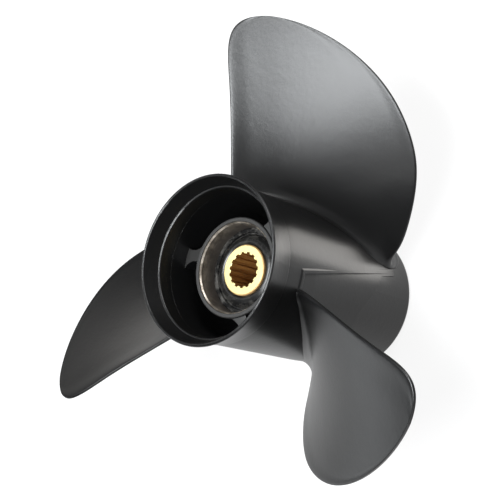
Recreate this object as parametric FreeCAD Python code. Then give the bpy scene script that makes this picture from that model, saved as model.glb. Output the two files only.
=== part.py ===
import FreeCAD, Part
import math
import os

# Boat propeller: three-blade, right-hand, cast aluminium, through-hub exhaust,
# with a rubber slip bush and a splined brass drive sleeve pressed in its middle.
#
# Frame, in millimetres: the shaft axis is Z, and +Z points aft, out of the flared
# exhaust end. The origin is on the shaft axis in the plane of the thrust seat, the
# forward face of the drive sleeve. Angles round the shaft are measured clockwise as
# seen from aft, from +Y, where the tip of blade 1 points. The propeller stands on the
# forward rim of its hub.

# ---- driving dimensions ----
DIAMETER = 355.6               # 14 inch, over the blade tips
PITCH = 455.6                  # advance per turn, about 18 inch
BLADES = 3
LIP_Z = 150.0                  # aft lip of the flared exhaust end
FORWARD_RIM_Z = -23.0          # the hub's forward rim
BARREL_RADIUS = 54.0           # 108 mm hub, for a 4-1/4 inch gearcase
FORWARD_RIM_RADIUS = 52.6
BARREL_BORE_RADIUS = 49.6
BORE_MOUTH_RADIUS = 51.0       # at the foot of the flare
LIP_RADIUS = 58.4
LIP_BORE_RADIUS = 56.0
FLARE_LENGTH = 22.0            # outside, lip to seam
FLARE_BORE_DEPTH = 11.2        # inside, lip to the foot of the flare
FOOT_SHOULDER = 1.3            # small rounded shoulder at the foot of the flare
SEAM_STEP = 0.35               # the flare stands this proud of the barrel
HUB_AFT_Z = 119.6              # inner hub
HUB_FORWARD_Z = -8.0
HUB_RADIUS = 35.2
HUB_BORE_RADIUS = 30.5
RIB_NECK = 8.4                 # thickness at the waist
SLEEVE_AFT_Z = 109.4
SLEEVE_RADIUS = 17.75
BUSH_AFT_Z = 105.0
BUSH_FORWARD_Z = 3.0
BUSH_DOME = 3.4                # the rubber rises this much round the sleeve
SLIP_GAP = 0.05                # running clearance, sleeve to bush and bush to hub
SPLINE_TEETH = 15
SPLINE_MAJOR_RADIUS = 12.7     # 1 inch over the shaft's teeth
SPLINE_MINOR_RADIUS = 11.6
PILOT_RADIUS = 13.4            # plain bore at the forward end of the sleeve
PILOT_DEPTH = 22.0

os.makedirs("parts", exist_ok=True)


def save(shape, name):
    """Write one piece as parts/NAME.step."""
    shape.exportStep("parts/%s.step" % name)


def around(angle, radius, z=0.0):
    """Point at an angle in degrees, clockwise from +Y as seen from aft."""
    a = math.radians(angle)
    return FreeCAD.Vector(radius * math.sin(a), radius * math.cos(a), z)


def revolve(edges):
    """Solid of revolution about Z from closed edges in the XZ plane."""
    face = Part.Face(Part.Wire(edges))
    return face.revolve(FreeCAD.Vector(0, 0, 0), FreeCAD.Vector(0, 0, 1), 360)


def line(a, b):
    """Straight profile edge between two (radius, z) points."""
    return Part.makeLine(FreeCAD.Vector(a[0], 0, a[1]), FreeCAD.Vector(b[0], 0, b[1]))


def arc(a, middle, b):
    """Profile arc through three (radius, z) points."""
    points = [FreeCAD.Vector(p[0], 0, p[1]) for p in (a, middle, b)]
    return Part.Arc(*points).toShape()


def outline(points):
    """Closed profile of straight edges through (radius, z) points."""
    return [line(a, b) for a, b in zip(points, points[1:] + points[:1])]


def turned(shape, angle):
    """Copy of a shape, turned clockwise as seen from aft."""
    copy = shape.copy()
    copy.rotate(FreeCAD.Vector(0, 0, 0), FreeCAD.Vector(0, 0, 1), -angle)
    return copy


# ---- hub barrel: the outer tube, with its flare in a separate ring ----
SEAM_Z = LIP_Z - FLARE_LENGTH
FLARE_FOOT_Z = LIP_Z - FLARE_BORE_DEPTH
BORE_TAPER_Z = 105.0           # the bore's mouth narrows to here, aft to forward
RIM_DEPTH = 4.5                # the forward rim's outer edge is rounded off over this
RIM_WIDTH = 2.0
TAPER_START_Z = 40.0           # the outside narrows from here to the forward rim


def bore_radius(z):
    """Radius of the barrel's bore, with its casting draft at the aft end."""
    share = (z - BORE_TAPER_Z) / (FLARE_FOOT_Z - BORE_TAPER_Z)
    return BARREL_BORE_RADIUS + (BORE_MOUTH_RADIUS - BARREL_BORE_RADIUS) * max(share, 0.0)


def barrel_solid():
    rim_low = (FORWARD_RIM_RADIUS - RIM_WIDTH, FORWARD_RIM_Z)
    rim_mid = (FORWARD_RIM_RADIUS - 0.33 * RIM_WIDTH, FORWARD_RIM_Z + 0.33 * RIM_DEPTH)
    rim_side = (FORWARD_RIM_RADIUS, FORWARD_RIM_Z + RIM_DEPTH)
    taper_top = (BARREL_RADIUS, TAPER_START_Z)
    seam_out = (BARREL_RADIUS, SEAM_Z)
    seam_in = (bore_radius(SEAM_Z), SEAM_Z)
    bore_top = (BARREL_BORE_RADIUS, BORE_TAPER_Z)
    bore_low = (BARREL_BORE_RADIUS, FORWARD_RIM_Z + 1.0)
    bore_edge = (BARREL_BORE_RADIUS + 0.8, FORWARD_RIM_Z)
    edges = [arc(rim_low, rim_mid, rim_side)]
    edges.append(line(rim_side, taper_top))
    edges.append(line(taper_top, seam_out))
    edges.append(line(seam_out, seam_in))
    edges.append(line(seam_in, bore_top))
    edges.append(line(bore_top, bore_low))
    edges.append(line(bore_low, bore_edge))
    edges.append(line(bore_edge, rim_low))
    return revolve(edges)


def flare_solid():
    """The diffuser: a trumpet-shaped ring with a rounded lip."""
    lip_mid_radius = (LIP_RADIUS + LIP_BORE_RADIUS) / 2
    lip_top = (lip_mid_radius, LIP_Z)
    lip_out = (LIP_RADIUS, LIP_Z - 1.5)
    lip_in = (LIP_BORE_RADIUS, LIP_Z - 0.9)
    waist_out = (BARREL_RADIUS + SEAM_STEP, SEAM_Z)
    foot_out = (BORE_MOUTH_RADIUS + FOOT_SHOULDER, FLARE_FOOT_Z + 0.3)
    foot_mid = (BORE_MOUTH_RADIUS + 0.3 * FOOT_SHOULDER, FLARE_FOOT_Z + 0.05)
    foot_in = (BORE_MOUTH_RADIUS, FLARE_FOOT_Z - 0.5)
    seam_in = (bore_radius(SEAM_Z), SEAM_Z)
    edges = [arc(lip_in, (LIP_BORE_RADIUS + 0.35, LIP_Z - 0.22), lip_top)]
    edges.append(arc(lip_top, (LIP_RADIUS - 0.3, LIP_Z - 0.45), lip_out))
    edges.append(arc(lip_out, (BARREL_RADIUS + 1.5, LIP_Z - 12.5), waist_out))
    edges.append(line(waist_out, seam_in))
    edges.append(line(seam_in, foot_in))
    edges.append(arc(foot_in, foot_mid, foot_out))
    edges.append(line(foot_out, lip_in))
    return revolve(edges)


def inner_hub_solid():
    """Tube that holds the bush; its aft mouth has a flat land and a bright chamfer."""
    mouth = HUB_BORE_RADIUS + 0.5
    edge = 0.8
    points = [(HUB_BORE_RADIUS, HUB_FORWARD_Z), (HUB_RADIUS, HUB_FORWARD_Z)]
    points.append((HUB_RADIUS, HUB_AFT_Z - edge))
    points.append((HUB_RADIUS - edge, HUB_AFT_Z))
    points.append((mouth + 1.2, HUB_AFT_Z))
    points.append((mouth + 0.9, HUB_AFT_Z - 1.0))
    points.append((mouth, HUB_AFT_Z - 2.0))
    points.append((HUB_BORE_RADIUS, BUSH_AFT_Z + 1.0))
    return revolve(outline(points))


# ---- die step: between the blades the casting dies leave a shallow sunken panel ----
# The panel starts at a wall beside one blade's trailing edge, runs forward along the
# parting line to the leading edge of the blade before, and dies out under the blade.
# A narrow raised lip borders it along the wall and the parting line.
# Each station: z, angle of the parting line, angle where the panel has died out,
# depth at the parting line, lip height.
STEP_STATIONS = [
    (111.5, -27.6, -5.0, 1.7, 0.9),
    (97.0, -30.3, -5.0, 1.3, 0.7),
    (2.0, -48.0, -12.0, -0.05, 0.0),
]
WALL_END = -15.0               # the wall and its lip stop here, inside the blade
RUN_OUT = 0.12                 # the panel's floor ends this far outside the barrel
LIP_FACE = 1.3                 # width of the lip's sloping side
LIP_CREST = 1.9                # width of its flat top


def step_cutter():
    wires = []
    reach = BARREL_RADIUS + 12.0
    steps = 8
    for z, parting, died_out, depth, _ in STEP_STATIONS:
        floor = []
        for i in range(steps + 1):
            share = i / steps
            sunk = (depth + RUN_OUT) * (1.0 - share) ** 2 - RUN_OUT
            angle = parting + (died_out - parting) * share
            floor.append(around(angle, BARREL_RADIUS - sunk, z))
        curve = Part.BSplineCurve()
        curve.interpolate(floor)
        edges = [curve.toShape()]
        edges.append(Part.makeLine(floor[-1], around(died_out, reach, z)))
        edges.append(Part.makeLine(around(died_out, reach, z), around(parting, reach, z)))
        edges.append(Part.makeLine(around(parting, reach, z), floor[0]))
        wires.append(Part.Wire(edges))
    return Part.makeLoft(wires, True, True)


def sector(points, start, end):
    """Profile revolved between two angles round the shaft."""
    profile = Part.Face(Part.Wire(outline(points)))
    axis = FreeCAD.Vector(0, 0, 1)
    return turned(profile.revolve(FreeCAD.Vector(0, 0, 0), axis, end - start), end - 90.0)


def step_lip():
    """The raised border: a strip along the parting line and a piece along the wall."""
    wall_z, wall_parting, _, _, wall_height = STEP_STATIONS[0]
    crest = math.degrees(LIP_CREST / BARREL_RADIUS)
    face = math.degrees(LIP_FACE / BARREL_RADIUS)
    foot = BARREL_RADIUS - 0.05
    sunk = BARREL_RADIUS - 2.0
    crest_z = wall_z + LIP_CREST
    foot_z = crest_z + LIP_FACE
    stations = [(foot_z, wall_parting, 0.0), (crest_z, wall_parting, wall_height)]
    stations += [(station[0], station[1], station[4]) for station in STEP_STATIONS[1:]]
    wires = []
    for z, parting, height in stations:
        corners = [around(parting - crest - face, foot, z)]
        corners.append(around(parting - crest, foot + height, z))
        corners.append(around(parting + crest, foot + height, z))
        corners.append(around(parting + crest, sunk, z))
        corners.append(around(parting - crest - face, sunk, z))
        wires.append(Part.makePolygon(corners + corners[:1]))
    strip = Part.makeLoft(wires, True, True)
    points = [(sunk, wall_z - 0.5), (foot + wall_height, wall_z - 0.5)]
    points += [(foot + wall_height, crest_z), (foot, foot_z), (sunk, foot_z)]
    return strip.fuse(sector(points, wall_parting, WALL_END))


# ---- blades ----
# A blade is a helicoid sheet of constant pitch with aft rake and a little curl, cut to
# an outline and thickened. (angle, radius) of the outline's control points, leading
# edge root to tip to trailing edge root; the curve is a clamped cubic B-spline.
OUTLINE = [
    (66.0, 49.0), (64.6, 60.0), (58.6, 84.0), (49.2, 122.5), (42.0, 138.3), (28.9, 161.0),
    (1.0, 182.1), (-8.9, 173.1), (-8.3, 124.3), (-12.3, 76.0), (-15.6, 60.0), (-15.8, 49.0),
]
SHEET_ANGLE = 11.46            # the sheet passes SHEET_Z here, at SHEET_RADIUS
SHEET_RADIUS = 122.6
SHEET_Z = LIP_Z - 50.4
RAKE = 0.2115                  # aft lean of the sheet, mm per mm of radius
RAKE_CURL = 0.00071            # the lean fades towards the tip
LEAD_CURL = 12.6               # forward curl of both edges, mm per radian squared
ADVANCE_END = 47.5             # degrees past SHEET_ANGLE where the sheet stops advancing
ADVANCE_FADE = 3.0
TIP_SHARE = 0.572              # outline parameter of the tip corner
EDGE_HALF = 1.15               # rounded edges, half thickness
ROOT_EDGE_HALF = 2.3           # the trailing edge is blunter where it meets the hub
BACK_BULGE = 6.5               # extra thickness on the forward side at the root
AFT_FILLET = (2.5, 14.0)       # root fillet radius, trailing and leading: aft side
FORWARD_FILLET = (0.6, 9.0)    # and forward side
LEAD_RUN_OUT = 18.0            # both fillets run out this close to the leading edge
ROOT_FLARE = 3.0               # the leading edge curves on round the hub, degrees
ROOT_FLARE_HEIGHT = 9.0
FILLET_FLOOR = 0.5             # below this height a fillet runs straight into the hub


def sheet(angle, radius):
    """Point of the sheet that the blade is built on."""
    turn = angle - SHEET_ANGLE
    if turn > ADVANCE_END:
        turn = ADVANCE_END + ADVANCE_FADE * (1.0 - math.exp((ADVANCE_END - turn) / ADVANCE_FADE))
    turn = math.radians(turn)
    out = radius - SHEET_RADIUS
    ahead = PITCH * turn / (2 * math.pi) + LEAD_CURL * turn * turn
    ahead += RAKE_CURL * out * out - RAKE * out
    return around(angle, radius, SHEET_Z - ahead)


def sheet_normal(angle, radius):
    """Unit normal of the sheet, towards the forward side of the blade."""
    da = sheet(angle + 0.1, radius) - sheet(angle - 0.1, radius)
    dr = sheet(angle, radius + 0.1) - sheet(angle, radius - 0.1)
    normal = da.cross(dr)
    return normal.normalize() * (-1.0 if normal.z > 0 else 1.0)


def fillet_spread(radius, fillet):
    """How far a root fillet stands out from the blade at a radius."""
    height = max(radius - BARREL_RADIUS, FILLET_FLOOR)
    if height >= fillet:
        return 0.0
    drop = math.sqrt(fillet ** 2 - (fillet - height) ** 2)
    slope = (fillet - height) / drop
    below = max(BARREL_RADIUS + FILLET_FLOOR - radius, 0.0)
    return fillet - drop + slope * below


def eased(distance, start, end):
    """0 before the start, 1 after the end, smooth between."""
    share = min(max((distance - start) / (end - start), 0.0), 1.0)
    return share * share * (3.0 - 2.0 * share)


def rounded(distance, reach):
    """0 at an edge, 1 from the reach inwards, along a quarter ellipse."""
    if distance >= reach:
        return 1.0
    return math.sqrt(max(1.0 - (1.0 - distance / reach) ** 2, 0.0))


def root_flare(radius):
    """Degrees that the leading edge runs on, where it curves into the hub."""
    height = max(radius - BARREL_RADIUS, 0.0)
    return ROOT_FLARE * max(1.0 - height / ROOT_FLARE_HEIGHT, 0.0) ** 2


def blade_section(trailing, leading):
    """Closed section from the trailing edge along the forward side and back."""
    chord = 0.0
    steps = 12
    points = []
    for i in range(steps + 1):
        c = i / steps
        points.append(sheet(trailing[0] + (leading[0] - trailing[0]) * c,
                            trailing[1] + (leading[1] - trailing[1]) * c))
    for a, b in zip(points, points[1:]):
        chord += (b - a).Length
    root_share = max(0.0, 1.0 - (trailing[1] - BARREL_RADIUS) / 45.0)
    edge_trailing = min(EDGE_HALF + (ROOT_EDGE_HALF - EDGE_HALF) * root_share ** 2, chord / 3)
    edge_leading = min(EDGE_HALF, chord / 3)
    span = (DIAMETER / 2 - BARREL_RADIUS)
    bulge = BACK_BULGE * max(0.0, 1.0 - (trailing[1] - BARREL_RADIUS) / span) ** 1.1
    shares = [0.0]
    for part in (0.13, 0.5, 1.0):
        shares.append(part * edge_trailing / chord)
    body = [0.07, 0.15, 0.27, 0.4, 0.5, 0.6, 0.73, 0.85, 0.93]
    low = edge_trailing / chord
    high = 1.0 - edge_leading / chord
    shares += [low + (high - low) * b for b in body]
    for part in (1.0, 0.5, 0.13):
        shares.append(1.0 - part * edge_leading / chord)
    shares.append(1.0)
    front = []
    back = []
    for c in shares:
        angle = trailing[0] + (leading[0] - trailing[0]) * c
        radius = trailing[1] + (leading[1] - trailing[1]) * c
        on_sheet = sheet(angle, radius)
        normal = sheet_normal(angle, radius)
        to_trailing = c * chord
        to_leading = (1.0 - c) * chord
        edge = edge_trailing * rounded(to_trailing, edge_trailing) * (1.0 - c)
        edge += edge_leading * rounded(to_leading, edge_leading) * c
        aft_fillet = AFT_FILLET[0] + (AFT_FILLET[1] - AFT_FILLET[0]) * c
        growth = eased(c, 0.2, 0.8)
        forward_fillet = FORWARD_FILLET[0] + (FORWARD_FILLET[1] - FORWARD_FILLET[0]) * growth
        fade = rounded(to_trailing, edge_trailing) * rounded(to_leading, LEAD_RUN_OUT)
        swell = bulge * math.sin(math.pi * c) ** 1.3
        forward_spread = fillet_spread(radius, forward_fillet) * fade
        front.append(on_sheet + normal * (edge + swell + forward_spread))
        back.append(on_sheet - normal * (edge + fillet_spread(radius, aft_fillet) * fade))
    return front + back[-2:0:-1]


def blade_stations():
    """Outline parameters from the root to the tip, close together in the fillet."""
    near_root = [0.0, 0.008, 0.016, 0.024, 0.034, 0.046, 0.06, 0.08, 0.105]
    outward = [0.15, 0.21, 0.28, 0.36, 0.45, 0.54, 0.63, 0.71, 0.78, 0.84, 0.89]
    near_tip = [0.93, 0.955, 0.973, 0.985, 0.9935]
    return near_root + outward + near_tip


def blade_blank():
    """The whole blade, its root running on into the wall of the barrel."""
    curve = Part.BSplineCurve()
    curve.buildFromPoles([FreeCAD.Vector(a, r, 0) for a, r in OUTLINE], False, 3)
    rows = []
    for share in blade_stations():
        leading = curve.value(TIP_SHARE * share)
        trailing = curve.value(1.0 - (1.0 - TIP_SHARE) * share)
        leading_angle = leading.x + root_flare(leading.y)
        row = blade_section((trailing.x, trailing.y), (leading_angle, leading.y))
        rows.append(row + row[:1])
    tip = curve.value(TIP_SHARE)
    rows.append([sheet(tip.x, tip.y)] * len(rows[0]))
    skin = Part.BSplineSurface()
    skin.interpolate(rows)
    root = skin.uIso(skin.bounds()[0])
    split = root.parameter(rows[0][len(rows[0]) // 2])
    front = root.copy()
    front.segment(root.FirstParameter, split)
    back = root.copy()
    back.segment(split, root.LastParameter)
    cap = Part.makeRuledSurface(front.toShape(), back.toShape())
    shell = Part.makeShell([skin.toShape()] + cap.Faces)
    shell.sewShape()
    return Part.makeSolid(shell)


# ---- ribs: three webs that carry the inner hub, waisted and leaning ----
RIB_OUTER_ANGLE = 277.0
RIB_INNER_ANGLE = 288.0
RIB_OUTER_HALF = 10.1          # half width at the barrel, degrees
RIB_INNER_HALF = 12.4          # half width at the inner hub, degrees
RIB_FORWARD_Z = -10.0


def rib_solid():
    outer = BORE_MOUTH_RADIUS + 1.0
    inner = HUB_RADIUS - 1.0
    lean = (around(RIB_OUTER_ANGLE, outer) - around(RIB_INNER_ANGLE, inner)).normalize()
    side = FreeCAD.Vector(lean.y, -lean.x, 0)
    waist = (around(RIB_OUTER_ANGLE, outer) + around(RIB_INNER_ANGLE, inner)) * 0.5
    near_outer = around(RIB_OUTER_ANGLE + RIB_OUTER_HALF, outer)
    near_inner = around(RIB_INNER_ANGLE + RIB_INNER_HALF, inner)
    far_outer = around(RIB_OUTER_ANGLE - RIB_OUTER_HALF, outer)
    far_inner = around(RIB_INNER_ANGLE - RIB_INNER_HALF, inner)
    edges = [Part.Arc(near_outer, waist + side * (RIB_NECK / 2), near_inner).toShape()]
    edges.append(Part.makeLine(near_inner, far_inner))
    edges.append(Part.Arc(far_inner, waist - side * (RIB_NECK / 2), far_outer).toShape())
    edges.append(Part.makeLine(far_outer, near_outer))
    profile = Part.Face(Part.Wire(edges))
    web = profile.extrude(FreeCAD.Vector(0, 0, LIP_Z - RIB_FORWARD_Z))
    web.translate(FreeCAD.Vector(0, 0, RIB_FORWARD_Z))
    aft_outer_z = LIP_Z - 35.2
    points = [(HUB_RADIUS, HUB_FORWARD_Z), (BARREL_BORE_RADIUS, RIB_FORWARD_Z)]
    points.append((BARREL_BORE_RADIUS, BORE_TAPER_Z))
    points.append((bore_radius(aft_outer_z), aft_outer_z))
    points.append((HUB_RADIUS, LIP_Z - 31.6))
    return web.common(revolve(outline(points)))


# ---- rubber bush and drive sleeve ----
def bush_solid():
    """Rubber bush: outer land, a groove, then a dome that rises round the sleeve."""
    outer = HUB_BORE_RADIUS - SLIP_GAP
    inner = SLEEVE_RADIUS + SLIP_GAP
    land = BUSH_AFT_Z - 0.6
    groove = BUSH_AFT_Z - 2.0
    groove_out = outer - 3.4
    groove_in = outer - 4.2
    dome_foot = (groove_in - 0.6, BUSH_AFT_Z)
    dome_side = (groove_in - 2.2, BUSH_AFT_Z + 1.9)
    crown = (inner + 2.8, BUSH_AFT_Z + BUSH_DOME)
    dome_edge = (inner + 0.3, BUSH_AFT_Z + BUSH_DOME - 0.8)
    points = [dome_edge, (inner, BUSH_AFT_Z + 1.0), (inner, BUSH_FORWARD_Z)]
    points += [(outer, BUSH_FORWARD_Z), (outer, land), (groove_out + 0.5, land)]
    points += [(groove_out, groove), (groove_in, groove), dome_foot]
    edges = [line(a, b) for a, b in zip(points, points[1:])]
    edges.append(arc(dome_foot, dome_side, crown))
    edges.append(arc(crown, (inner + 1.3, BUSH_AFT_Z + BUSH_DOME - 0.15), dome_edge))
    return revolve(edges)


def spline_bore(length):
    """Tool for the internal spline: grooves at the major radius, teeth between."""
    pitch = 360.0 / SPLINE_TEETH
    groove_top = 0.24 * pitch
    groove_foot = 0.29 * pitch
    edges = []
    for k in range(SPLINE_TEETH):
        middle = (k + 0.5) * pitch
        foot_in = around(middle - groove_foot, SPLINE_MINOR_RADIUS)
        top_in = around(middle - groove_top, SPLINE_MAJOR_RADIUS)
        top_out = around(middle + groove_top, SPLINE_MAJOR_RADIUS)
        foot_out = around(middle + groove_foot, SPLINE_MINOR_RADIUS)
        next_foot = around(middle + pitch - groove_foot, SPLINE_MINOR_RADIUS)
        crest = around(middle + pitch / 2, SPLINE_MINOR_RADIUS)
        edges.append(Part.makeLine(foot_in, top_in))
        edges.append(Part.Arc(top_in, around(middle, SPLINE_MAJOR_RADIUS), top_out).toShape())
        edges.append(Part.makeLine(top_out, foot_out))
        edges.append(Part.Arc(foot_out, crest, next_foot).toShape())
    return Part.Face(Part.Wire(edges)).extrude(FreeCAD.Vector(0, 0, length))


def sleeve_solid():
    edge = 0.6
    points = [(0.0, 0.0), (SLEEVE_RADIUS - edge, 0.0), (SLEEVE_RADIUS, edge)]
    points.append((SLEEVE_RADIUS, SLEEVE_AFT_Z - edge))
    points.append((SLEEVE_RADIUS - edge, SLEEVE_AFT_Z))
    points.append((0.0, SLEEVE_AFT_Z))
    sleeve = revolve(outline(points)).cut(spline_bore(SLEEVE_AFT_Z))
    return sleeve.cut(Part.makeCylinder(PILOT_RADIUS, PILOT_DEPTH))


# ---- build and write ----
barrel = barrel_solid()
cutter = step_cutter()
lip = step_lip()
blank = blade_blank()
rib = rib_solid()
spacing = 360.0 / BLADES
for k in range(BLADES):
    barrel = barrel.fuse(turned(lip, k * spacing)).cut(turned(cutter, k * spacing))
save(barrel, "hub_barrel")
save(flare_solid(), "exhaust_flare")
save(inner_hub_solid(), "inner_hub")
blade = max(blank.cut(barrel).Solids, key=lambda solid: solid.Volume)
for k in range(BLADES):
    save(turned(blade, k * spacing), "blade_%d" % (k + 1))
    save(turned(rib, k * spacing), "rib_%d" % (k + 1))
save(bush_solid(), "rubber_bush")
save(sleeve_solid(), "drive_sleeve")
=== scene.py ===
import math
import bpy
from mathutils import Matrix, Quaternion, Vector

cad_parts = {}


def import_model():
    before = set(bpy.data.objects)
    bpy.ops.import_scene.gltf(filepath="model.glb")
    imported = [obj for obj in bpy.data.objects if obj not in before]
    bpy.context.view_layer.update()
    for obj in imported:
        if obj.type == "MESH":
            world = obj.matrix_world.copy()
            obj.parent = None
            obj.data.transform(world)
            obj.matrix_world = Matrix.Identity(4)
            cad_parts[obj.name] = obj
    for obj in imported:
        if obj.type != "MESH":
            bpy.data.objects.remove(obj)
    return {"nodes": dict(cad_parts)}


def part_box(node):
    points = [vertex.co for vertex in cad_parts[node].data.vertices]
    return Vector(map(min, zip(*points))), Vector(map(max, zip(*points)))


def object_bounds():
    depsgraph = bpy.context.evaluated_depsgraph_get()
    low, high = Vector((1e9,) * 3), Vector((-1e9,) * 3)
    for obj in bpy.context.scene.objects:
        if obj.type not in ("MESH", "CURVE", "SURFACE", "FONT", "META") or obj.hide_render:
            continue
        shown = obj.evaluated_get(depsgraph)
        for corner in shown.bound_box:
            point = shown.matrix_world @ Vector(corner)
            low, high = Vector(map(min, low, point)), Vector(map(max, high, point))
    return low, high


# Boat propeller on a white studio floor: a black satin casting, a worn bore mouth with
# a rubber slip bush, and a splined brass drive sleeve. Units are metres; the shaft axis
# is Z, +Z points aft, and the origin is on it, at the drive sleeve's forward face.

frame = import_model()
cad_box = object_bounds()
nodes = frame["nodes"]
scene = bpy.context.scene

# ---- places that the finishes follow, as on the CAD model ----
FLOOR_Z = cad_box[0].z
HUB_AFT_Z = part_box("inner_hub")[1].z
SLEEVE_AFT_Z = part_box("drive_sleeve")[1].z
RIB_AFT_Z = 0.1184         # a rib's sloping aft end starts here, at the inner hub
HUB_RADIUS = 0.0352
RIB_END_SLOPE = 0.24       # and drops this much per unit of radius
RIB_END = RIB_AFT_Z + HUB_RADIUS * RIB_END_SLOPE

# Each pair is where a finish starts to show and where it shows in full.
RIB_END_DEPTH = (0.0006, 0.0002)         # matt skin with painted light, below the rib's sloping end
LAND_DEPTH = (0.0009, 0.0002)            # matt skin with painted light, below the inner hub's aft face
BARE_DEPTH = (0.0007, 0.0009)            # bare metal, below the same face
BARE_RADIUS = (0.0331, 0.0327)           # and nearer to the axis than this
CHAMFER_DEPTH = (0.0021, 0.0018)         # bright chamfer, below the same face
BORE_WEAR_AND_SHADE_Z = (0.106, 0.116)             # wear on the bore's wall, with painted shade that darkens it deeper into the bore
BUSH_DUST_RADIUS = (0.0215, 0.0265)      # dust on the rubber
SPLINE_DEPTH = (0.0001, 0.0004)          # brown bore, below the sleeve's aft face
SLEEVE_SIDE_RADIUS = (0.0170, 0.0172)    # darker brass on the sleeve's outer edge

# ---- colours and gloss ----
PAINT_SPECULAR = 0.315
PAINT_ROUGHNESS = (0.32, 0.35)
GRAIN_ROUGHNESS = 0.05          # added on the grain of the casting
PAINT = (0.0020, 0.0020, 0.0021)
PAINT_PALE = (0.0032, 0.0032, 0.0033)
# a matt casting skin, painted lighter to stand in for light on the aft faces
MATT_SKIN_AND_PAINTED_LIGHT = (0.0115, 0.0112, 0.0108)
MATT_ROUGHNESS = 0.5
BORE_ROUGHNESS = (0.32, 0.5)
WORN_METALLIC = 0.4
CHAMFER_METALLIC = 0.9
WORN_METAL = (0.150, 0.132, 0.112)
# dark stains on the bore, and the painted shade deeper into it
STAINED_AND_SHADED_METAL = (0.050, 0.043, 0.037)
CHAMFER_BRIGHT = (0.42, 0.38, 0.33)
CHAMFER_DULL = (0.13, 0.11, 0.09)
RUBBER = (0.004, 0.004, 0.004)
RUBBER_DUST = (0.034, 0.032, 0.029)
RUBBER_SPECULAR = 0.25
RUBBER_ROUGHNESS = 0.24
DUST_ROUGHNESS = 0.25           # added where the dust lies
BRASS_FACE = (0.66, 0.575, 0.275)
BRASS_FACE_STAINED = (0.57, 0.48, 0.22)
BRASS_SIDE = (0.62, 0.38, 0.16)
BRASS_BORE = (0.44, 0.21, 0.055)
BRASS_BORE_DARK = (0.19, 0.075, 0.018)
BRASS_ROUGHNESS = 0.34
TURNING_ROUGHNESS = 0.12        # added on the turning marks
SPLINE_METALLIC = 0.5           # the spline is dull with oxide
FLOOR_TONE = (0.095, 0.095, 0.095)
FLOOR_TONE_PALE = (0.105, 0.105, 0.105)
FLOOR_ROUGHNESS = 0.8
FLOOR_SPECULAR = 0.1
BLACK = (0.0, 0.0, 0.0, 1.0)
WHITE = (1.0, 1.0, 1.0, 1.0)

# ---- textures ----
# Scales are in cycles per metre, and a relief is its height in metres and its strength.
PATCH_SCALE = 9.0                # broad patches in the paint's colour and gloss
RIPPLE_SCALE = 75.0              # slow waviness of the cast surface
RIPPLE_RELIEF = (0.0004, 0.22)
PEEL_SCALE = 380.0               # orange peel in the paint
PEEL_RELIEF = (0.00012, 0.45)
GRAIN_SCALE = 1700.0             # fine grain of the cast skin
GRAIN_RELIEF = (0.00003, 0.6)
CAST_EDGE = 0.0005               # radius that softens the casting's edges
STAIN_SCALE = 140.0              # blotches on the worn bore
BORE_MARK_HEIGHT = 0.00006
BORE_MARK_STRENGTH = 0.6
PATCHY_DUST_SCALE = 120.0        # dust on the rubber
SMEAR_RELIEF = (0.0002, 0.2)
RUBBER_SCALE = 1500.0            # grain of the rubber
RUBBER_RELIEF = (0.00004, 0.5)
BRASS_STAIN_SCALE = 260.0
TURNING_RELIEF = (0.00003, 0.4)
BRASS_EDGE_RADIUS = 0.00025
DRAWN_STRETCH = (1500.0, 1500.0, 60.0)   # lengthwise marks in the spline
DRAWN_HEIGHT = 0.00005
DRAWN_STRENGTH = 0.7
# marks round the shaft: cycles per radian, then cycles per metre across them
BORE_MARKS = (4.0, 900.0)
SMEARS = (3.0, 260.0)
TURNING = (1.5, 3500.0)

# ---- studio ----
FLOOR_SIZE = 12.0
BACKDROP_RADIUS = 5.8
FLOOR_GLOW = 0.87
WORLD_LIGHT = 0.042
COOL = (0.95, 0.98, 1.0)
NEUTRAL = (1.0, 1.0, 1.0)
WARM = (1.0, 0.97, 0.93)
HUB_MIDDLE = (0.0, 0.0, 0.06)
BOX_DISTANCE = 1.6
# name, azimuth, elevation, (width, height), power, tint, turn about its own axis.
# These rows were first given, then changed by a least-squares fit to the photo's
# shading, and so were WORLD_LIGHT, PAINT_SPECULAR and PAINT_ROUGHNESS.
SOFT_BOXES = [
    ("overhead", 21.7, 81.7, (0.591, 1.379), 94.93, COOL, 21.4),
    ("front", 43.6, 50.0, (0.8, 0.4), 1.38, NEUTRAL, 0.0),
    ("front_right", 85.0, 30.7, (0.6, 0.6), 1.57, NEUTRAL, 0.0),
    ("front_low", 5.0, 41.0, (0.5, 0.4), 2.41, NEUTRAL, 0.0),
    ("side_low", -68.0, 11.9, (0.5, 0.6), 3.50, COOL, 0.0),
    ("left_low", -126.2, 4.0, (0.6, 0.6), 2.29, WARM, 0.0),
    ("left", -113.0, 18.0, (0.6, 0.6), 0.84, WARM, 0.0),
    ("face", -102.2, 55.1, (0.6, 0.6), 2.10, NEUTRAL, 0.0),
    ("back", 152.5, 30.3, (0.8, 0.8), 22.31, NEUTRAL, 0.0),
    ("back_right", 119.8, 31.1, (0.6, 0.6), 2.62, NEUTRAL, 0.0),
]
# a narrow card of light beside the barrel gives the long highlight on its side
CARD_AZIMUTH = 134.0
CARD_DISTANCE = 0.019
CARD_SIZE = (0.030, 0.128)
CARD_POWER = 0.0515
CARD_AIM = (0.0500, 0.0182, 0.0450)
CARD_LIGHTS_UP = ("hub_barrel", "exhaust_flare")

# the camera was fitted to the photo together with the hub circles and the blade outline
CAMERA_PLACE = (0.53113, -0.10428, 0.73001)
CAMERA_AZIMUTH = 77.34
CAMERA_ELEVATION = 48.94
CAMERA_ROLL = -73.41
LENS = 86.4
SENSOR = 36.0


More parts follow.
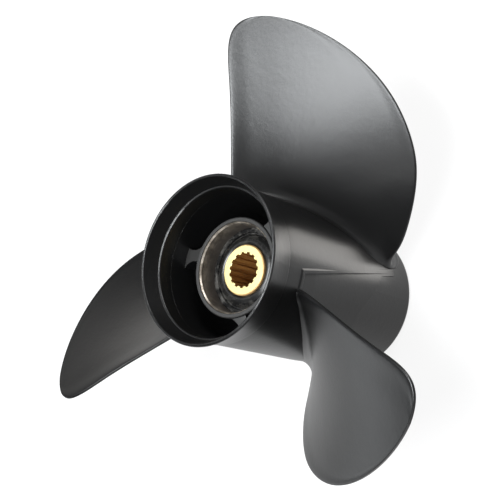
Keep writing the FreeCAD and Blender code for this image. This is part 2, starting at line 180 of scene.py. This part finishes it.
# ---- node graphs ----
class Graph:
    """A material's node tree, built by short calls that return output sockets."""

    def __init__(self, name):
        self.material = bpy.data.materials.new(name)
        self.material.use_nodes = True
        self.tree = self.material.node_tree
        self.tree.nodes.clear()
        self.out = self.tree.nodes.new("ShaderNodeOutputMaterial")
        self.place = self.tree.nodes.new("ShaderNodeTexCoord").outputs["Object"]

    def put(self, socket, value):
        """Link an output socket to an input, or set the input to a number."""
        if isinstance(value, bpy.types.NodeSocket):
            self.tree.links.new(value, socket)
        elif value is not None:
            socket.default_value = value

    def node(self, kind, settings=(), **inputs):
        made = self.tree.nodes.new(kind)
        for name, value in dict(settings).items():
            setattr(made, name, value)
        for name, value in inputs.items():
            self.put(made.inputs[name.replace("_", " ")], value)
        return made

    def math(self, operation, a, b=None, c=None):
        made = self.node("ShaderNodeMath", {"operation": operation})
        for socket, value in zip(made.inputs, (a, b, c)):
            self.put(socket, value)
        return made.outputs[0]

    def times(self, a, b):
        return self.math("MULTIPLY", a, b)

    def noise(self, scale, detail=3.0, roughness=0.55, place=None):
        """Noise from 0 to 1; the scale is in cycles per metre."""
        made = self.node("ShaderNodeTexNoise", Scale=scale, Detail=detail, Roughness=roughness)
        self.put(made.inputs["Vector"], self.place if place is None else place)
        return made.outputs["Fac"]

    def stretched(self, x, y, z):
        """Object coordinates times a scale for each axis."""
        made = self.node("ShaderNodeMapping", Vector=self.place)
        made.inputs["Scale"].default_value = (x, y, z)
        return made.outputs["Vector"]

    def step(self, value, low, high, out_low=0.0, out_high=1.0):
        """Smooth change from out_low to out_high as the value goes from low to high."""
        made = self.node("ShaderNodeMapRange", {"interpolation_type": "SMOOTHSTEP"})
        for socket, number in zip(made.inputs, (value, low, high, out_low, out_high)):
            self.put(socket, number)
        return made.outputs[0]

    def below(self, z, face, depths):
        """Smooth change from 0 to 1 between two depths below a face."""
        return self.step(z, face - depths[0], face - depths[1])

    def mix(self, share, a, b):
        """Colour mix; 0 gives a and 1 gives b."""
        made = self.node("ShaderNodeMix", {"data_type": "RGBA"})
        self.put(made.inputs[0], share)
        for socket, value in ((made.inputs[6], a), (made.inputs[7], b)):
            self.put(socket, value if isinstance(value, bpy.types.NodeSocket) else (*value, 1.0))
        return made.outputs[2]

    def between(self, share, a, b):
        """Number mix; 0 gives a and 1 gives b."""
        made = self.node("ShaderNodeMix", {"data_type": "FLOAT"})
        for socket, value in ((made.inputs[0], share), (made.inputs[2], a), (made.inputs[3], b)):
            self.put(socket, value)
        return made.outputs[0]

    def split(self):
        """(radius from the shaft axis, z, angle round the shaft)."""
        xyz = self.node("ShaderNodeSeparateXYZ", Vector=self.place).outputs
        squares = self.times(xyz[0], xyz[0])
        squares = self.math("MULTIPLY_ADD", xyz[1], xyz[1], squares)
        return self.math("SQRT", squares), xyz[2], self.math("ARCTAN2", xyz[1], xyz[0])

    def round_shaft(self, radius, z, angle, along, across):
        """Coordinates that stretch a texture round the shaft, like turning marks."""
        made = self.node("ShaderNodeCombineXYZ")
        self.put(made.inputs[0], self.times(angle, along))
        self.put(made.inputs[1], self.times(radius, across))
        self.put(made.inputs[2], self.times(z, across))
        return made.outputs[0]

    def bump(self, height, distance, strength, normal=None):
        """Normal that follows a height from 0 to 1, the distance being its size in metres."""
        made = self.node("ShaderNodeBump", Height=height, Distance=distance, Strength=strength)
        self.put(made.inputs["Normal"], normal)
        return made.outputs["Normal"]

    def bevel(self, radius):
        """Normal that looks like a softly rounded edge."""
        return self.node("ShaderNodeBevel", {"samples": 6}, Radius=radius).outputs["Normal"]

    def surface(self, colour, roughness, metallic=0.0, normal=None, specular=0.5):
        """Principled surface, linked to the material's output."""
        made = self.node("ShaderNodeBsdfPrincipled", Roughness=roughness, Metallic=metallic,
                         Base_Color=colour, Specular_IOR_Level=specular, Normal=normal)
        self.tree.links.new(made.outputs[0], self.out.inputs["Surface"])
        return made


# ---- finishes ----
def paint(graph):
    """Black satin paint over a grainy casting: colour, roughness, normal."""
    patch = graph.noise(PATCH_SCALE)
    grain = graph.noise(GRAIN_SCALE, 2.0)
    blend = graph.times(graph.math("ADD", grain, patch), 0.5)
    colour = graph.mix(blend, PAINT, PAINT_PALE)
    rough = graph.step(patch, 0.3, 0.7, *PAINT_ROUGHNESS)
    rough = graph.math("MULTIPLY_ADD", grain, GRAIN_ROUGHNESS, rough)
    normal = graph.bevel(CAST_EDGE)
    normal = graph.bump(graph.noise(RIPPLE_SCALE, 2.0), *RIPPLE_RELIEF, normal)
    normal = graph.bump(graph.noise(PEEL_SCALE), *PEEL_RELIEF, normal)
    normal = graph.bump(grain, *GRAIN_RELIEF, normal)
    return colour, rough, normal


def paint_material():
    graph = Graph("black_satin_paint")
    colour, rough, normal = paint(graph)
    graph.surface(colour, rough, normal=normal, specular=PAINT_SPECULAR)
    return graph.material


def hub_material():
    """Painted outside; matt land at the mouth, painted lighter as light on it; worn metal bore
    with a chamfered edge and painted shade deeper in.
    """
    graph = Graph("hub_paint_and_worn_bore_with_painted_light_and_shade")
    colour, rough, normal = paint(graph)
    radius, z, angle = graph.split()
    land = graph.below(z, HUB_AFT_Z, LAND_DEPTH)
    # painted light: the matt land on the aft face is a lighter grey
    colour = graph.mix(land, colour, MATT_SKIN_AND_PAINTED_LIGHT)
    rough = graph.between(land, rough, MATT_ROUGHNESS)
    inside = graph.step(radius, *BARE_RADIUS)
    bare = graph.times(inside, graph.below(z, HUB_AFT_Z, BARE_DEPTH))
    chamfer = graph.times(bare, graph.below(z, HUB_AFT_Z, CHAMFER_DEPTH))
    marks = graph.noise(1.0, 4.0, 0.65, graph.round_shaft(radius, z, angle, *BORE_MARKS))
    stain = graph.noise(STAIN_SCALE, 4.0, 0.65)
    # painted shade: the bore's wall is darker deeper in, away from the mouth
    near_mouth = graph.step(z, *BORE_WEAR_AND_SHADE_Z, 0.15, 1.0)
    wear_and_shade = graph.times(graph.step(stain, 0.35, 0.6), near_mouth)
    wear_and_shade = graph.times(wear_and_shade, graph.step(marks, 0.3, 0.65, 0.4, 1.0))
    wall = graph.mix(wear_and_shade, STAINED_AND_SHADED_METAL, WORN_METAL)
    chamfer_tone = graph.mix(graph.step(stain, 0.35, 0.65), CHAMFER_DULL, CHAMFER_BRIGHT)
    colour = graph.mix(chamfer, graph.mix(bare, colour, wall), chamfer_tone)
    rough = graph.between(bare, rough, graph.step(marks, 0.2, 0.8, *BORE_ROUGHNESS))
    metallic = graph.times(bare, graph.between(chamfer, WORN_METALLIC, CHAMFER_METALLIC))
    mark_strength = graph.times(bare, BORE_MARK_STRENGTH)
    normal = graph.bump(marks, BORE_MARK_HEIGHT, mark_strength, normal)
    graph.surface(colour, rough, metallic=metallic, normal=normal, specular=PAINT_SPECULAR)
    return graph.material


def rib_material():
    """Painted sides; the sloping aft end is a matt casting skin, painted greyer as light on it.
    """
    graph = Graph("rib_paint_and_matt_end_with_painted_light")
    colour, rough, normal = paint(graph)
    radius, z, _ = graph.split()
    slope = graph.math("MULTIPLY_ADD", radius, RIB_END_SLOPE, z)
    end = graph.below(slope, RIB_END, RIB_END_DEPTH)
    # painted light: the matt sloping end is a lighter grey
    colour = graph.mix(end, colour, MATT_SKIN_AND_PAINTED_LIGHT)
    rough = graph.between(end, rough, MATT_ROUGHNESS)
    graph.surface(colour, rough, normal=normal, specular=PAINT_SPECULAR)
    return graph.material


def rubber_material():
    """Black rubber with a shiny dome and patches of dust and dried lubricant."""
    graph = Graph("bush_rubber")
    radius, z, angle = graph.split()
    smear = graph.noise(1.0, 4.0, 0.7, graph.round_shaft(radius, z, angle, *SMEARS))
    patchy = graph.noise(PATCHY_DUST_SCALE, 4.0, 0.7)
    dust = graph.step(graph.times(smear, patchy), 0.20, 0.38)
    dust = graph.times(dust, graph.step(radius, *BUSH_DUST_RADIUS, 0.25, 1.0))
    colour = graph.mix(dust, RUBBER, RUBBER_DUST)
    rough = graph.math("MULTIPLY_ADD", dust, DUST_ROUGHNESS, RUBBER_ROUGHNESS)
    normal = graph.bump(smear, *SMEAR_RELIEF)
    normal = graph.bump(graph.noise(RUBBER_SCALE, 2.0), *RUBBER_RELIEF, normal)
    graph.surface(colour, rough, normal=normal, specular=RUBBER_SPECULAR)
    return graph.material


def brass_material():
    """Pale machined face with turning marks; brown, drawn spline bore."""
    graph = Graph("sleeve_brass")
    radius, z, angle = graph.split()
    turning = graph.noise(1.0, place=graph.round_shaft(radius, z, angle, *TURNING))
    stain = graph.noise(BRASS_STAIN_SCALE)
    face = graph.mix(graph.step(stain, 0.55, 0.75), BRASS_FACE, BRASS_FACE_STAINED)
    drawn = graph.noise(1.0, 4.0, 0.6, graph.stretched(*DRAWN_STRETCH))
    bore = graph.mix(graph.step(drawn, 0.3, 0.7), BRASS_BORE_DARK, BRASS_BORE)
    in_bore = graph.below(z, SLEEVE_AFT_Z, SPLINE_DEPTH)
    side = graph.step(radius, *SLEEVE_SIDE_RADIUS)
    colour = graph.mix(side, graph.mix(in_bore, face, bore), BRASS_SIDE)
    rough = graph.math("MULTIPLY_ADD", turning, TURNING_ROUGHNESS, BRASS_ROUGHNESS)
    normal = graph.bump(turning, *TURNING_RELIEF, graph.bevel(BRASS_EDGE_RADIUS))
    normal = graph.bump(drawn, DRAWN_HEIGHT, graph.times(in_bore, DRAWN_STRENGTH), normal)
    metallic = graph.between(in_bore, 1.0, SPLINE_METALLIC)
    graph.surface(colour, rough, metallic=metallic, normal=normal)
    return graph.material


def finish_nodes():
    """Give every CAD node its material."""
    rib_finish = rib_material()
    finishes = {"inner_hub": hub_material(), "rubber_bush": rubber_material(),
                "drive_sleeve": brass_material(), "rib_1": rib_finish, "rib_2": rib_finish,
                "rib_3": rib_finish}
    casting = paint_material()
    for name, node in nodes.items():
        for place in node.material_slots:
            place.material = finishes.get(name, casting)


# ---- floor, backdrop, light and camera ----
def glow(surface):
    """Let a stage surface give off the floor's glow."""
    surface.inputs["Emission Color"].default_value = WHITE
    surface.inputs["Emission Strength"].default_value = FLOOR_GLOW


def floor():
    bpy.ops.mesh.primitive_plane_add(size=FLOOR_SIZE, location=(0, 0, FLOOR_Z))
    plane = bpy.context.object
    plane.name = "floor"
    graph = Graph("white_floor")
    tone = graph.mix(graph.noise(1.5, 2.0), FLOOR_TONE, FLOOR_TONE_PALE)
    glow(graph.surface(tone, FLOOR_ROUGHNESS, specular=FLOOR_SPECULAR))
    plane.data.materials.append(graph.material)


def backdrop():
    """Pale dome behind everything, seen by the camera alone, as bright as the far floor."""
    bpy.ops.mesh.primitive_uv_sphere_add(segments=64, ring_count=32, radius=BACKDROP_RADIUS,
                                         location=(0, 0, FLOOR_Z))
    dome = bpy.context.object
    dome.name = "backdrop"
    graph = Graph("pale_backdrop")
    glow(graph.surface(BLACK, 1.0, specular=0.0))
    dome.data.materials.append(graph.material)
    dome.visible_diffuse = False
    dome.visible_glossy = False
    dome.visible_shadow = False


def direction(azimuth, elevation):
    a = math.radians(azimuth)
    e = math.radians(elevation)
    return Vector((math.sin(a) * math.cos(e), -math.cos(a) * math.cos(e), math.sin(e)))


def add_object(data, place, back, turn):
    """Light or camera at a place, facing away from the vector back, turned about it."""
    made = bpy.data.objects.new(data.name, data)
    scene.collection.objects.link(made)
    made.location = place
    made.rotation_mode = "QUATERNION"
    level = (-back).to_track_quat("-Z", "Y")
    made.rotation_quaternion = Quaternion(back, math.radians(turn)) @ level
    return made


def area_light(name, azimuth, elevation, size, power, tint, turn=0.0, distance=BOX_DISTANCE,
               aim=HUB_MIDDLE):
    """Rectangle of light that faces a point from a direction and distance."""
    back = direction(azimuth, elevation)
    data = bpy.data.lights.new(name, "AREA")
    data.shape = "RECTANGLE"
    data.size, data.size_y = size
    data.energy = power
    data.color = tint
    made = add_object(data, Vector(aim) + back * distance, back, turn)
    made.visible_camera = False
    return made


def barrel_card():
    """Card of light that only the barrel and the flare reflect."""
    card = area_light("barrel_card", CARD_AZIMUTH, 0.0, CARD_SIZE, CARD_POWER, WARM,
                      distance=CARD_DISTANCE, aim=CARD_AIM)
    lit = bpy.data.collections.new("lit_by_the_card")
    for name in CARD_LIGHTS_UP:
        lit.objects.link(nodes[name])
    card.light_linking.receiver_collection = lit


def world():
    """Faint, even light from all round."""
    made = bpy.data.worlds.new("studio")
    made.use_nodes = True
    background = made.node_tree.nodes["Background"]
    background.inputs["Color"].default_value = WHITE
    background.inputs["Strength"].default_value = WORLD_LIGHT
    scene.world = made


def camera():
    data = bpy.data.cameras.new("camera")
    data.lens = LENS
    data.sensor_width = SENSOR
    data.sensor_fit = "HORIZONTAL"
    data.clip_start = 0.01
    back = direction(CAMERA_AZIMUTH, CAMERA_ELEVATION)
    scene.camera = add_object(data, CAMERA_PLACE, back, CAMERA_ROLL)


finish_nodes()
floor()
backdrop()
for row in SOFT_BOXES:
    area_light(*row)
barrel_card()
world()
camera()
scene.view_settings.view_transform = "Standard"
